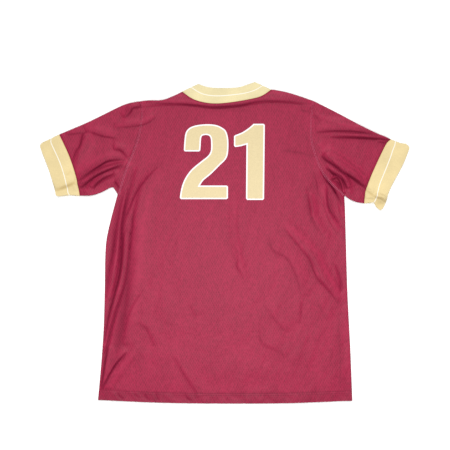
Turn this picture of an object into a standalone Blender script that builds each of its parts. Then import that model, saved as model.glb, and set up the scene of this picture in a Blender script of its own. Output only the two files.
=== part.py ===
"""A pullover baseball jersey laid flat, back upwards, as the pieces of cloth that a maker sews together.

The hem points to -Y and the collar to +Y, the wearer's left is at -X, and the cloth rests on Z = 0.
The tables are in millimetres. Each piece is a wall of cloth lofted through sections of its middle surface.
"""

import functools
import math
from collections import namedtuple

import bpy
import numpy as np

MM = 0.001

# Driving sizes
KNIT = 1.2  # wall of the body and the sleeves
RIB = 1.6  # wall of the collar and the cuffs, which are doubled bands
SEAM_GAP = 0.3  # between two pieces that are sewn together
UPPER_LEVEL = 2.6  # middle of the upper layer where it lies on the lower one
SEAM_LEVEL = 2.3  # height of the side and shoulder seams, between the two layers
ROLL = 1.7  # the cloth turns over within this distance of a side
SQUARE_END = 3.0  # the rolls of a panel stop this short of its corners
SWELL = 1.5  # the upper layer stands this much higher beside a side that is turned over
SWELL_WIDTH = 11.0

# Numbers of cells of cloth
ARMHOLE_CELLS = 13
SIDE_CELLS = 17
SHOULDER_CELLS = 5
NECK_CELLS = 12
SLEEVE_CELLS = 11
CUFF_CELLS = 3
BAND_CELLS = 3
HEM_CROWDING = 0.62  # width of the hem's end cells as a share of its middle ones

# Outlines of the pieces, as points (x, y) of smooth curves
HEM = ((-316, -392), (-160, -399), (0, -401), (160, -400), (318, -394))
LEFT_SIDE = ((-316, -392), (-309, -318), (-302, -218), (-299, -120), (-297, -18), (-289, 36), (-267, 121))
RIGHT_SIDE = ((318, -394), (313, -268), (306, -130), (302, 0), (300, 72), (298, 119))
LEFT_ARMHOLE = ((-267, 121), (-250, 178), (-235, 215), (-221, 252), (-212, 292), (-208, 328), (-211, 353))
RIGHT_ARMHOLE = ((298, 119), (291, 129), (267, 150), (241, 188), (221, 246), (218, 300), (223, 353))
LEFT_SHOULDER = ((-211, 353), (-189, 355), (-155, 356), (-126, 367), (-106, 377))
RIGHT_SHOULDER = ((223, 353), (163, 373), (126, 381), (115, 382))
BACK_NECK = ((-106, 377), (-80, 359), (-52, 350), (-20, 347), (23, 351), (72, 360), (95, 368), (115, 382))
FRONT_NECK = ((-106, 377), (-100, 345), (-72, 307), (-30, 288), (10, 285), (50, 291), (88, 313), (109, 348),
              (115, 382))
BACK_COLLAR_EDGE = ((-66, 396), (-40, 388), (-11, 386), (29, 387), (55, 394), (75, 401))
FRONT_COLLAR_EDGE = ((-66, 396), (-60, 372), (-42, 345), (-15, 331), (10, 328), (36, 334), (62, 352),
                     (72, 376), (75, 401))
LEFT_SLEEVE_TOP = ((-211, 353), (-242, 347), (-267, 337), (-307, 317), (-349, 297), (-413, 270))
LEFT_UNDERARM = ((-267, 121), (-273, 131), (-282, 139), (-307, 127), (-332, 119), (-362, 118))
LEFT_CUFF_SEAM = ((-362, 118), (-367, 146), (-375, 178), (-391, 223), (-413, 270))
LEFT_CUFF_TOP = ((-413, 270), (-437, 257), (-458, 247))
LEFT_CUFF_BOTTOM = ((-362, 118), (-390, 119), (-419, 115))
LEFT_CUFF_EDGE = ((-419, 115), (-423, 135), (-437, 178), (-460, 238), (-458, 247))
RIGHT_SLEEVE_TOP = ((223, 353), (282, 323), (340, 292), (377, 274), (397, 266), (414, 258))
RIGHT_UNDERARM = ((298, 119), (314, 108), (330, 102), (348, 99))
RIGHT_CUFF_SEAM = ((348, 99), (350, 118), (353, 134), (364, 164), (390, 221), (404, 248), (414, 258))
RIGHT_CUFF_TOP = ((414, 258), (437, 249), (460, 242))
RIGHT_CUFF_BOTTOM = ((348, 99), (372, 98), (379, 89), (388, 82))
RIGHT_CUFF_EDGE = ((388, 82), (398, 91), (402, 103), (408, 124), (421, 152), (443, 193), (460, 242))
LEFT_COLLAR_FOLD = (BACK_NECK[0], BACK_COLLAR_EDGE[0])
RIGHT_COLLAR_FOLD = (BACK_NECK[-1], BACK_COLLAR_EDGE[-1])
TURNED_SIDES = (LEFT_SIDE, RIGHT_SIDE, LEFT_SHOULDER, RIGHT_SHOULDER, LEFT_SLEEVE_TOP, RIGHT_SLEEVE_TOP,
                LEFT_UNDERARM, RIGHT_UNDERARM, LEFT_CUFF_TOP, RIGHT_CUFF_TOP, LEFT_CUFF_BOTTOM,
                RIGHT_CUFF_BOTTOM, LEFT_COLLAR_FOLD, RIGHT_COLLAR_FOLD)

# Folds of the upper layer. A fold's crest runs along its path, and the cloth falls away from it within
# the widths at its left and right hand: a small width is the steep side, where the fold is creased.
Fold = namedtuple("Fold", "path height left right")
SHOULDER_FOLDS = (
    Fold(((-238, 316), (-226, 334), (-205, 344), (-119, 349), (-69, 346), (-29, 341), (31, 345), (81, 352),
          (131, 356), (205, 348), (226, 338)), 5.0, 15, 5),
)
LEFT_SLEEVE_FOLDS = (
    Fold(((-238, 199), (-294, 185), (-352, 155), (-372, 141)), 8.0, 9, 6),
    Fold(((-262, 183), (-311, 158), (-345, 132)), 6.0, 7, 7),
    Fold(((-372, 182), (-352, 249), (-330, 272)), 4.0, 6, 22),
    Fold(((-332, 282), (-269, 267)), 3.0, 14, 6),
    Fold(((-272, 292), (-204, 299), (-172, 319)), 3.0, 10, 6),
    Fold(((-274, 240), (-254, 235), (-234, 214)), 3.0, 8, 6),
)
LEFT_CUFF_FOLDS = (
    Fold(((-420, 121), (-390, 126), (-362, 134)), 4.0, 9, 7),
    Fold(((-428, 150), (-444, 195), (-455, 235)), 2.5, 14, 14),
)
LEFT_BODY_FOLDS = (
    Fold(((-252, 107), (-267, 44), (-269, -10), (-281, -75), (-291, -135)), 8.0, 6, 10),
    Fold(((-237, 119), (-245, 44), (-247, -25), (-259, -98), (-280, -193), (-297, -280)), 7.5, 11, 6),
    Fold(((-152, 194), (-189, 157), (-212, 104), (-222, 7), (-232, -80), (-246, -155), (-274, -268),
          (-298, -355)), 4.5, 26, 9),
    Fold(((-287, -350), (-257, -308), (-222, -265)), 3.0, 9, 12),
)
CENTRE_FOLDS = (
    Fold(((26, 142), (21, 44), (31, -25), (53, -93)), 2.5, 9, 9),
)
RIGHT_BODY_FOLDS = (
    Fold(((153, 44), (221, -33), (251, -95), (284, -133)), 3.5, 16, 8),
    Fold(((201, 139), (213, 99), (223, 57), (248, 19)), 3.0, 12, 8),
    Fold(((250, 166), (272, 137), (287, 107), (294, 70)), 6.0, 8, 6),
    Fold(((248, 137), (256, 89), (270, 52), (290, 24)), 4.0, 9, 7),
)
RIGHT_SLEEVE_FOLDS = (
    Fold(((243, 270), (313, 269), (388, 263), (410, 257)), 6.0, 6, 6),
    Fold(((235, 307), (300, 294), (374, 273)), 4.0, 12, 7),
    Fold(((243, 237), (276, 208), (308, 180), (338, 155), (362, 136), (382, 117)), 9.0, 22, 6),
    Fold(((249, 197), (273, 177), (291, 164), (303, 146), (308, 130)), 7.0, 7, 6),
)
RIGHT_CUFF_FOLDS = (
    Fold(((404, 112), (420, 152), (440, 193), (455, 232)), 2.5, 14, 14),
)
FOLDS = (SHOULDER_FOLDS + LEFT_SLEEVE_FOLDS + LEFT_CUFF_FOLDS + LEFT_BODY_FOLDS + CENTRE_FOLDS
         + RIGHT_BODY_FOLDS + RIGHT_SLEEVE_FOLDS + RIGHT_CUFF_FOLDS)
SECOND_FOLD_SHARE = 0.5  # where two folds meet, how much of the lower one is added to the higher one
END_TAPER = 0.04  # share of a fold's length beyond which its ends fade out

# Finishes: base colour, roughness, metallic
FINISHES = {
    "burgundy_knit": ((0.42, 0.035, 0.085, 1), 0.7, 0.0),
    "gold_band": ((0.85, 0.68, 0.36, 1), 0.75, 0.0),
}

LEVEL = math.pi / 2  # how far the cloth has turned from upright, where it lies flat
ROLL_TURNS = (0, LEVEL / 2, LEVEL)


@functools.cache
def smooth_curve(points, steps=12):
    """Points along a Catmull-Rom curve through the given ones."""
    p = np.array([points[0], *points, points[-1]], float)
    made = []
    for a, b, c, d in zip(p, p[1:], p[2:], p[3:]):
        for t in np.arange(steps) / steps:
            cubic = (2 * a - 5 * b + 4 * c - d) * t**2 + (3 * b - a - 3 * c + d) * t**3
            made.append((2 * b + (c - a) * t + cubic) / 2)
    return np.array([*made, p[-1]])


def run_of(line):
    """Distance along a line of points at each of them."""
    return np.concatenate([[0], np.cumsum(np.linalg.norm(np.diff(line, axis=0), axis=1))])


def even(cells):
    return np.arange(cells + 1) / cells


def square_ended(cells, outline):
    """Even shares of an outline, and one more a little before its end, where its roll stops."""
    length = run_of(smooth_curve(outline))[-1]
    return np.concatenate([even(cells)[:-1], [1 - SQUARE_END / length, 1]])


def along(outline, shares):
    """Points at these shares of the length of an outline."""
    line = smooth_curve(outline)
    run = run_of(line)
    return np.stack([np.interp(shares * run[-1], run, line[:, k]) for k in range(2)], axis=1)


def moved_left(line, distance):
    """The line moved to its left hand, as seen from above."""
    way = np.gradient(line, axis=0)
    way /= np.linalg.norm(way, axis=1)[:, None]
    return line + distance * np.stack([-way[:, 1], way[:, 0]], axis=1)


def patch(bottom, top, left, right):
    """Plan points that fill a four-sided outline (a Coons patch). Rows run from the bottom to the top."""
    u_low, u_high, v_left, v_right = (run_of(side) / run_of(side)[-1] for side in (bottom, top, left, right))
    v_mean = (v_left + v_right)[:, None] / 2
    u_mean = (u_low + u_high) / 2
    u = ((1 - v_mean) * u_low + v_mean * u_high)[..., None]
    v = ((1 - u_mean) * v_left[:, None] + u_mean * v_right[:, None])[..., None]
    corners = (1 - v) * ((1 - u) * bottom[0] + u * bottom[-1]) + v * ((1 - u) * top[0] + u * top[-1])
    return (1 - v) * bottom + v * top + (1 - u) * left[:, None] + u * right[:, None] - corners


def fold_height(points, fold):
    """Height that one fold adds at each plan point."""
    line = smooth_curve(fold.path, 5)
    step = np.diff(line, axis=0)
    to = points[:, None] - line[:-1]
    share = np.clip((to * step).sum(2) / (step**2).sum(1), 0, 1)
    away = to - share[..., None] * step
    distance = np.linalg.norm(away, axis=2)
    nearest = distance.argmin(1)
    rows = np.arange(len(points))
    near, share, distance = away[rows, nearest], share[rows, nearest], distance[rows, nearest]
    on_left = step[nearest, 0] * near[:, 1] > step[nearest, 1] * near[:, 0]
    run = np.clip((nearest + share) / len(step), END_TAPER, 1 - END_TAPER)
    width = np.where(on_left, fold.left, fold.right)
    return fold.height * np.sqrt(np.sin(math.pi * run)) * np.exp(-((distance / width) ** 2))


def upper_level(plan):
    """Height of the middle of the upper layer at each plan point."""
    points = plan.reshape(-1, 2)
    swells = [Fold(side, SWELL, SWELL_WIDTH, SWELL_WIDTH) for side in TURNED_SIDES]
    swell = np.max([fold_height(points, fold) for fold in swells], axis=0)
    folds = np.sort([fold_height(points, fold) for fold in FOLDS], axis=0)
    return (UPPER_LEVEL + swell + folds[-1] + SECOND_FOLD_SHARE * folds[-2]).reshape(plan.shape[:-1])


def middle_level(plan, is_upper, wall):
    return upper_level(plan) if is_upper else np.full(plan.shape[:-1], wall / 2)


def split_for_roll(line):
    """The line with its first stretch split where the cloth is half turned over and where it lies level."""
    way = (line[1] - line[0]) / np.linalg.norm(line[1] - line[0])
    turned = [line[0] + way * ROLL * (1 - math.cos(turn)) for turn in ROLL_TURNS]
    return np.array([*turned, *line[1:]])


def split_both_ends(line):
    return split_for_roll(split_for_roll(line)[::-1])[::-1]


def unit(vectors):
    return vectors / np.linalg.norm(vectors, axis=-1, keepdims=True)


def body_panel(name, neck, is_upper):
    """The front or the back, turned over along its side seams and shoulders and cut at its other edges."""
    shoulder = square_ended(SHOULDER_CELLS, LEFT_SHOULDER)
    neckline = along(neck, even(NECK_CELLS))
    neckline[1:-1] = moved_left(neckline, -SEAM_GAP / 2)[1:-1]
    neckline[0, 0] -= SEAM_GAP / 2
    neckline[-1, 0] += SEAM_GAP / 2
    left_shoulder = along(LEFT_SHOULDER, shoulder[:-1])
    right_shoulder = along(RIGHT_SHOULDER, shoulder[:-1])
    top = np.concatenate([left_shoulder, neckline, right_shoulder[::-1]])

    rise = square_ended(SIDE_CELLS, LEFT_SIDE)[:-1]
    left_armhole = moved_left(along(LEFT_ARMHOLE, even(ARMHOLE_CELLS)), -SEAM_GAP / 2)
    right_armhole = moved_left(along(RIGHT_ARMHOLE, even(ARMHOLE_CELLS)), SEAM_GAP / 2)
    left = np.concatenate([along(LEFT_SIDE, rise), left_armhole])
    right = np.concatenate([along(RIGHT_SIDE, rise), right_armhole])

    spacing = np.interp(even(len(top) - 2), (0, 0.2, 0.8, 1), (HEM_CROWDING, 1, 1, HEM_CROWDING))
    bottom = along(HEM, np.cumsum([0, *spacing]) / spacing.sum())
    bottom[0], bottom[-1], top[0], top[-1] = left[0], right[0], left[-1], right[-1]

    plan = patch(bottom, top, left, right)
    plan = np.array([split_both_ends(row) for row in plan])
    plan_columns = [split_for_roll(column[::-1])[::-1] for column in plan.transpose(1, 0, 2)]
    plan = np.array(plan_columns).transpose(1, 0, 2)

    turn = np.full(plan.shape[:2], LEVEL)
    outward = np.zeros_like(plan)
    sides = slice(0, len(rise))
    for k, angle in enumerate(ROLL_TURNS):
        turn[sides, [k, -1 - k]] = angle
        outward[sides, k] = unit(plan[sides, 0] - plan[sides, 2])
        outward[sides, -1 - k] = unit(plan[sides, -1] - plan[sides, -3])
    first = len(ROLL_TURNS) - 1
    last = first + SHOULDER_CELLS
    for shoulder_columns in (slice(first, last + 1), slice(-1 - last, -first)):
        for k, angle in enumerate(ROLL_TURNS):
            turn[-1 - k, shoulder_columns] = angle
            outward[-1 - k, shoulder_columns] = unit(plan[-1] - plan[-3])[shoulder_columns]

    facing = 1 if is_upper else -1
    seam = SEAM_LEVEL + facing * SEAM_GAP / 2
    z = seam + (middle_level(plan, is_upper, KNIT) - seam) * np.sin(turn)
    middle = np.dstack([plan, z])
    normal = np.dstack([outward * np.cos(turn)[..., None], facing * np.sin(turn)])
    return cloth_wall(name, middle, normal, KNIT, closed=False)


def half_section(row, is_upper, wall):
    """The upper or lower half of a section through a flattened tube, as points and normals."""
    plan = split_both_ends(row)
    turn = np.full(len(plan), LEVEL)
    turn[:3], turn[-3:] = ROLL_TURNS, ROLL_TURNS[::-1]
    outward = np.zeros_like(plan)
    outward[:3], outward[-3:] = unit(plan[0] - plan[2]), unit(plan[-1] - plan[-3])
    z = SEAM_LEVEL + (middle_level(plan, is_upper, wall) - SEAM_LEVEL) * np.sin(turn)
    facing = 1 if is_upper else -1
    normal = np.column_stack([outward * np.cos(turn)[:, None], facing * np.sin(turn)])
    return np.column_stack([plan, z]), normal


def tube(name, upper_plan, lower_plan, wall):
    """A flattened tube of cloth, from the rows of plan points of its upper and its lower half."""
    middle, normal = [], []
    for upper_row, lower_row in zip(upper_plan, lower_plan):
        upper, upper_normal = half_section(upper_row, True, wall)
        lower, lower_normal = half_section(lower_row, False, wall)
        middle.append([*upper, *lower[-2:0:-1]])
        normal.append([*upper_normal, *lower_normal[-2:0:-1]])
    return cloth_wall(name, np.array(middle), np.array(normal), wall, closed=True)


def cloth_wall(name, middle, normal, wall, closed):
    """The solid between the two faces of a wall, from its sections, which are rings where it is closed."""
    sections, count = middle.shape[:2]
    outer, inner = middle + normal * wall / 2, middle - normal * wall / 2
    points = np.concatenate([outer.reshape(-1, 3), inner.reshape(-1, 3)]) * MM
    back = sections * count
    spans = [(i, (i + 1) % count) for i in range(count if closed else count - 1)]
    faces = []
    for row in range(0, back - count, count):
        for i, j in spans:
            a, b, c, d = row + i, row + j, row + count + j, row + count + i
            # Both faces of the wall are split along the same diagonal, so a twisted cell keeps its thickness.
            for p, q, r in ((a, b, c), (a, c, d)):
                faces += [(p, q, r), (back + r, back + q, back + p)]
    final = back - count
    for i, j in spans:
        faces += [(j, i, back + i, back + j), (final + i, final + j, back + final + j, back + final + i)]
    if not closed:
        for row in range(0, back - count, count):
            a, b, c, d = row, row + count, row + count - 1, row + 2 * count - 1
            faces += [(a, b, back + b, back + a), (d, c, back + c, back + d)]
    mesh = bpy.data.meshes.new(name)
    mesh.from_pydata(points.tolist(), [], faces)
    if volume(mesh) < 0:
        mesh.flip_normals()
    return bpy.data.objects.new(name, mesh)


def volume(mesh):
    mesh.calc_loop_triangles()
    corners = [[mesh.vertices[k].co for k in triangle.vertices] for triangle in mesh.loop_triangles]
    return sum(a.dot(b.cross(c)) for a, b, c in corners) / 6


def limb_piece(name, ends, sides, cells, wall, facing):
    """A sleeve or a cuff, wrapped round the arm. ends run from its lower side to its upper one, and facing is
    1 where the limb points to -X. An end that is sewn keeps its half of the seam's gap."""
    (inner, inner_gap), (outer, outer_gap) = ends
    inner = moved_left(along(inner, even(ARMHOLE_CELLS)), facing * inner_gap)
    outer = moved_left(along(outer, even(ARMHOLE_CELLS)), -facing * outer_gap)
    low, high = (along(side, even(cells)) for side in sides)
    low[0], low[-1], high[0], high[-1] = inner[0], outer[0], inner[-1], outer[-1]
    plan = patch(inner, outer, low, high)
    return tube(name, plan, plan, wall)


def collar():
    """The band round the neck. Its back half lies on the front one, and reaches further down."""
    halves = []
    for seam, edge in ((BACK_NECK, BACK_COLLAR_EDGE), (FRONT_NECK, FRONT_COLLAR_EDGE)):
        low = moved_left(along(seam, even(NECK_CELLS)), SEAM_GAP / 2)
        high = along(edge, even(NECK_CELLS))
        across = even(BAND_CELLS)[:, None, None]
        halves.append(low * (1 - across) + high * across)
    upper, lower = halves
    ends = (upper[:, [0, -1]] + lower[:, [0, -1]]) / 2
    upper[:, [0, -1]] = lower[:, [0, -1]] = ends
    return tube("collar", upper, lower, RIB)


def material(name):
    colour, roughness, metallic = FINISHES[name]
    made = bpy.data.materials.new(name)
    made.use_nodes = True
    shader = made.node_tree.nodes["Principled BSDF"]
    shader.inputs["Base Color"].default_value = colour
    shader.inputs["Roughness"].default_value = roughness
    shader.inputs["Metallic"].default_value = metallic
    return made


def main():
    for old in list(bpy.data.objects):
        bpy.data.objects.remove(old)
    jersey = bpy.data.collections.new("baseball_jersey")
    bpy.context.scene.collection.children.link(jersey)
    half = SEAM_GAP / 2
    knit_pieces = (
        body_panel("back_panel", BACK_NECK, is_upper=True),
        body_panel("front_panel", FRONT_NECK, is_upper=False),
        limb_piece("left_sleeve", ((LEFT_ARMHOLE, half), (LEFT_CUFF_SEAM, half)),
                   (LEFT_UNDERARM, LEFT_SLEEVE_TOP), SLEEVE_CELLS, KNIT, 1),
        limb_piece("right_sleeve", ((RIGHT_ARMHOLE, half), (RIGHT_CUFF_SEAM, half)),
                   (RIGHT_UNDERARM, RIGHT_SLEEVE_TOP), SLEEVE_CELLS, KNIT, -1),
    )
    bands = (
        limb_piece("left_cuff", ((LEFT_CUFF_SEAM, half), (LEFT_CUFF_EDGE, 0)),
                   (LEFT_CUFF_BOTTOM, LEFT_CUFF_TOP), CUFF_CELLS, RIB, 1),
        limb_piece("right_cuff", ((RIGHT_CUFF_SEAM, half), (RIGHT_CUFF_EDGE, 0)),
                   (RIGHT_CUFF_BOTTOM, RIGHT_CUFF_TOP), CUFF_CELLS, RIB, -1),
        collar(),
    )
    for pieces, finish in ((knit_pieces, material("burgundy_knit")), (bands, material("gold_band"))):
        for piece in pieces:
            piece.data.materials.append(finish)
            piece.data.shade_smooth()
            piece.data.set_sharp_from_angle(angle=math.radians(50))
            jersey.objects.link(piece)


main()
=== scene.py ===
"""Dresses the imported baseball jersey: mesh-knit cloth with its folds, striped bands, a number and stitching.

The jersey lies flat on a pale floor with its back upwards, the hem towards -Y and the collar towards +Y.
Outlines and folds are in millimetres, as in the part, and a mesh is written in metres.
"""

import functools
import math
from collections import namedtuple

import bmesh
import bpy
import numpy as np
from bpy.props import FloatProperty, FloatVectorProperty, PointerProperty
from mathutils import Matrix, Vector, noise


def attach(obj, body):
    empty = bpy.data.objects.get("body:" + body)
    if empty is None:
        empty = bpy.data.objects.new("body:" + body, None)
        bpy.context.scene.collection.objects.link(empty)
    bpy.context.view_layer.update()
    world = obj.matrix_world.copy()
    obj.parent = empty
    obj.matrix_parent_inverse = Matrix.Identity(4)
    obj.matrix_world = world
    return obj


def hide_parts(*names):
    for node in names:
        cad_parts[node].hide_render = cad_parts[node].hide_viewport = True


bl_info = {
    "name": "Baseball Jersey Looks",
    "version": (1, 0, 0),
    "blender": (4, 5, 0),
    "location": "View3D > Sidebar > Jersey",
    "description": "Dresses a flat-laid baseball jersey with knit cloth, bands, a number and stitching",
    "category": "Object",
}

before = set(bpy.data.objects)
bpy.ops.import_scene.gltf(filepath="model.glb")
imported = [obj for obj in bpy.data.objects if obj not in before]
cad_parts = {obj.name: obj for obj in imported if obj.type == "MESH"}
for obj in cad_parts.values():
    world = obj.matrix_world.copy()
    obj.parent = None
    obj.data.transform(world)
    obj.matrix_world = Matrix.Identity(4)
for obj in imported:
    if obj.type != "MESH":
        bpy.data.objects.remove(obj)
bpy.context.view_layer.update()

MM = 0.001

# Levels of the cloth above the floor, and what raises, lowers or turns it
UPPER_LEVEL = 3.6  # middle of the upper layer where it lies on the lower one, with a little air between them
LOWEST_UPPER = 2.2  # the upper layer's middle stays above this, clear of the lower one
HIGHEST_UPPER = 19.0
SEAM_LEVEL = 2.3  # height of the side and shoulder seams
SEAM_GAP = 0.06  # pieces nearly touch where they are sewn
ROLL = 1.7  # the cloth turns over within this distance of a side
SQUARE_END = 0.8
SWELL = 1.3  # the upper layer stands this much higher beside a side that is turned over
SWELL_WIDTH = 11.0
SEAM_DIP_WIDTH = 3.0  # a seam pulls the cloth down within about this distance
WAVE = 0.9  # height of the cloth's slow, uneven waves
WAVE_LENGTH = 70.0
WAVE_OCTAVES = (0.8, 2.1, 3)  # the noise's falloff, the spacing of its octaves and their number
WRINKLE = 0.45  # height of its small wrinkles
WRINKLE_LENGTH = 16.0
WRINKLE_OCTAVES = (0.9, 2.0, 2)
WRINKLE_SLANT = 0.3
WRINKLE_SQUEEZE = 0.35  # below 1, a wrinkle is longer up the body than across it
WRINKLE_SLICE = 90  # depth at which the noise is cut, so that the wrinkles aren't the waves again
HEM_STEP = 0.4  # the turned-up hem is this much thicker
HEM_STEEPNESS = 1.5  # of that step
HEM_GROOVE = 0.3  # depth of the groove under the hem's stitching
HEM_GROOVE_WIDTH = 2.5
PUCKER = 1.4  # height of the puckers between that groove and the hem's edge
PUCKER_LENGTH = 15.0
PUCKER_SLANT = 0.7
PUCKER_SLICE = 3.7

# Numbers of cells of cloth in each piece
Cells = namedtuple("Cells", "hem side armhole shoulder neck")
FINE = Cells(14, 104, 84, 54, 104)
COARSE = Cells(6, 40, 26, 12, 28)
SLEEVE_CELLS = 96
CUFF_CELLS = 24
BAND_CELLS = 20
HEM_CROWDING = 0.45  # width of the hem's end cells as a share of its middle ones
CROWDED_ENDS = 0.2  # share of the hem at each end over which they narrow
HEM_REACH = 1.4  # the hem's close rows of cells reach this many times its depth up the side
SHARP_ANGLE = math.radians(60)  # edges of the cloth above it are drawn sharp

# Outlines of the pieces, as points (x, y) of smooth curves
HEM = ((-316, -392), (-160, -399), (0, -401), (160, -400), (318, -394))
LEFT_SIDE = ((-316, -392), (-309, -318), (-302, -218), (-299, -120), (-297, -18), (-289, 36), (-267, 121))
RIGHT_SIDE = ((318, -394), (313, -268), (306, -130), (302, 0), (300, 72), (298, 119))
LEFT_ARMHOLE = ((-267, 121), (-250, 178), (-235, 215), (-221, 252), (-212, 292), (-208, 328), (-211, 353))
RIGHT_ARMHOLE = ((298, 119), (291, 129), (267, 150), (241, 188), (221, 246), (218, 300), (223, 353))
LEFT_SHOULDER = ((-211, 353), (-189, 355), (-155, 356), (-126, 367), (-106, 377))
RIGHT_SHOULDER = ((223, 353), (163, 373), (126, 381), (115, 382))
BACK_NECK = ((-106, 377), (-80, 359), (-52, 350), (-20, 347), (23, 351), (72, 360), (95, 368), (115, 382))
FRONT_NECK = ((-106, 377), (-100, 345), (-72, 307), (-30, 288), (10, 285), (50, 291), (88, 313), (109, 348),
              (115, 382))
BACK_COLLAR_EDGE = ((-66, 396), (-40, 388), (-11, 386), (29, 387), (55, 394), (75, 401))
FRONT_COLLAR_EDGE = ((-66, 396), (-60, 372), (-42, 345), (-15, 331), (10, 328), (36, 334), (62, 352),
                     (72, 376), (75, 401))
LEFT_SLEEVE_TOP = ((-211, 353), (-242, 347), (-267, 337), (-307, 317), (-349, 297), (-413, 270))
LEFT_UNDERARM = ((-267, 121), (-273, 131), (-282, 139), (-307, 127), (-332, 119), (-362, 118))
LEFT_CUFF_SEAM = ((-362, 118), (-367, 146), (-375, 178), (-391, 223), (-413, 270))
LEFT_CUFF_TOP = ((-413, 270), (-437, 258), (-453, 251))
LEFT_CUFF_BOTTOM = ((-362, 118), (-390, 119), (-414, 116))
LEFT_CUFF_EDGE = ((-414, 116), (-421, 119), (-424, 132), (-437, 178), (-457, 230), (-460, 243), (-453, 251))
RIGHT_SLEEVE_TOP = ((223, 353), (282, 323), (340, 292), (377, 274), (397, 266), (414, 258))
RIGHT_UNDERARM = ((298, 119), (314, 108), (330, 102), (348, 99))
RIGHT_CUFF_SEAM = ((348, 99), (350, 118), (353, 134), (364, 164), (390, 221), (404, 248), (414, 258))
RIGHT_CUFF_TOP = ((414, 258), (437, 249), (452, 247))
RIGHT_CUFF_BOTTOM = ((348, 99), (363, 100), (373, 100), (377, 92), (382, 86))
RIGHT_CUFF_EDGE = ((382, 86), (389, 82), (396, 88), (402, 103), (408, 124), (421, 152), (443, 193),
                   (457, 226), (460, 238), (452, 247))
LEFT_COLLAR_FOLD = (BACK_NECK[0], BACK_COLLAR_EDGE[0])
RIGHT_COLLAR_FOLD = (BACK_NECK[-1], BACK_COLLAR_EDGE[-1])
TURNED_SIDES = (LEFT_SIDE, RIGHT_SIDE, LEFT_SHOULDER, RIGHT_SHOULDER, LEFT_SLEEVE_TOP, RIGHT_SLEEVE_TOP,
                LEFT_UNDERARM, RIGHT_UNDERARM, LEFT_CUFF_TOP, RIGHT_CUFF_TOP, LEFT_CUFF_BOTTOM,
                RIGHT_CUFF_BOTTOM, LEFT_COLLAR_FOLD, RIGHT_COLLAR_FOLD)

# Seams of the upper layer, with how far each pulls the cloth down and how much painted shade it gets beside
# it, as a crease does
SEAMS = ((LEFT_ARMHOLE, 0.9, 0.3), (RIGHT_ARMHOLE, 0.7, 0.2), (LEFT_CUFF_SEAM, 1.4, 0.7),
         (RIGHT_CUFF_SEAM, 1.4, 0.7), (BACK_NECK, 1.4, 0.7))

# Where the white line runs across each band: shares of its width, from one end of its seam to the other
COLLAR_LINE = (0.56, 0.5, 0.5, 0.52, 0.5, 0.52)
LEFT_CUFF_LINE = (0.48, 0.46, 0.46, 0.48, 0.5)
RIGHT_CUFF_LINE = (0.5, 0.5, 0.46, 0.4, 0.33)

# Folds of the upper layer. A fold's crest runs along its path, and the cloth falls away from it within
# the widths at its left and right hand: a small width is the steep side, where the fold is creased.
Fold = namedtuple("Fold", "path height left right")
SHOULDER_FOLDS = (
    Fold(((-238, 316), (-226, 334), (-205, 344), (-119, 349), (-69, 346), (-29, 341), (31, 345), (81, 352),
          (131, 356), (205, 348), (226, 338)), 5.0, 15, 5),
)
LEFT_SLEEVE_FOLDS = (
    Fold(((-238, 199), (-294, 185), (-352, 155), (-372, 141)), 8.0, 9, 6),
    Fold(((-262, 183), (-311, 158), (-345, 132)), 6.0, 7, 7),
    Fold(((-372, 182), (-352, 249), (-330, 272)), 4.0, 6, 22),
    Fold(((-332, 282), (-269, 267)), 1.5, 14, 8),
    Fold(((-272, 292), (-204, 299), (-172, 319)), 2.0, 10, 6),
    Fold(((-274, 240), (-254, 235), (-234, 214)), 2.0, 8, 6),
)
LEFT_CUFF_FOLDS = (
    Fold(((-428, 150), (-444, 195), (-455, 235)), 2.5, 14, 14),
)
LEFT_BODY_FOLDS = (
    Fold(((-246, 125), (-263, 44), (-269, -18), (-277, -68), (-289, -135)), 7.0, 9, 11),
    Fold(((-246, 20), (-250, -30), (-254, -68), (-263, -110), (-276, -150), (-287, -193), (-299, -255)),
         7.5, 14, 8),
    Fold(((-152, 194), (-189, 157), (-212, 104), (-222, 7), (-232, -80), (-262, -193), (-282, -268),
          (-298, -345)), 4.0, 26, 12),
    Fold(((-287, -350), (-257, -308), (-222, -265)), 3.0, 9, 12),
)
CENTRE_FOLDS = (
    Fold(((26, 142), (21, 44), (31, -25), (53, -93)), 1.8, 9, 9),
)
RIGHT_BODY_FOLDS = (
    Fold(((153, 44), (221, -33), (251, -95), (284, -133)), 3.5, 16, 8),
    Fold(((201, 139), (213, 99), (223, 57), (248, 19)), 3.0, 12, 8),
    Fold(((250, 166), (272, 137), (287, 107), (294, 70)), 6.0, 8, 6),
    Fold(((248, 137), (256, 89), (270, 52), (290, 24)), 4.0, 9, 7),
)
RIGHT_SLEEVE_FOLDS = (
    Fold(((243, 271), (313, 270), (388, 264), (410, 258)), 4.0, 4, 5),
    Fold(((263, 153), (269, 161), (279, 165), (287, 158), (292, 146), (297, 126)), 8.0, 3, 3),
    Fold(((235, 307), (300, 294), (374, 273)), 4.0, 12, 7),
    Fold(((241, 234), (272, 205), (306, 178), (338, 155), (352, 142)), 8.0, 22, 6),
    Fold(((256, 193), (276, 179), (294, 167), (306, 149), (310, 130)), 6.0, 7, 5),
)
RIGHT_CUFF_FOLDS = (
    Fold(((404, 120), (420, 152), (440, 193), (455, 232)), 2.5, 14, 14),
    Fold(((374, 117), (389, 115), (404, 108)), 8.0, 6, 14),
)
FOLDS = (SHOULDER_FOLDS + LEFT_SLEEVE_FOLDS + LEFT_CUFF_FOLDS + LEFT_BODY_FOLDS + CENTRE_FOLDS
         + RIGHT_BODY_FOLDS + RIGHT_SLEEVE_FOLDS + RIGHT_CUFF_FOLDS)
SECOND_FOLD_SHARE = 0.5  # where two folds meet, how much of the lower one is added to the higher one
END_TAPER = 0.04  # share of a fold's length beyond which its ends fade out
FOLD_REACH = 1.7  # a fold's foot, as a multiple of its width

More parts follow.
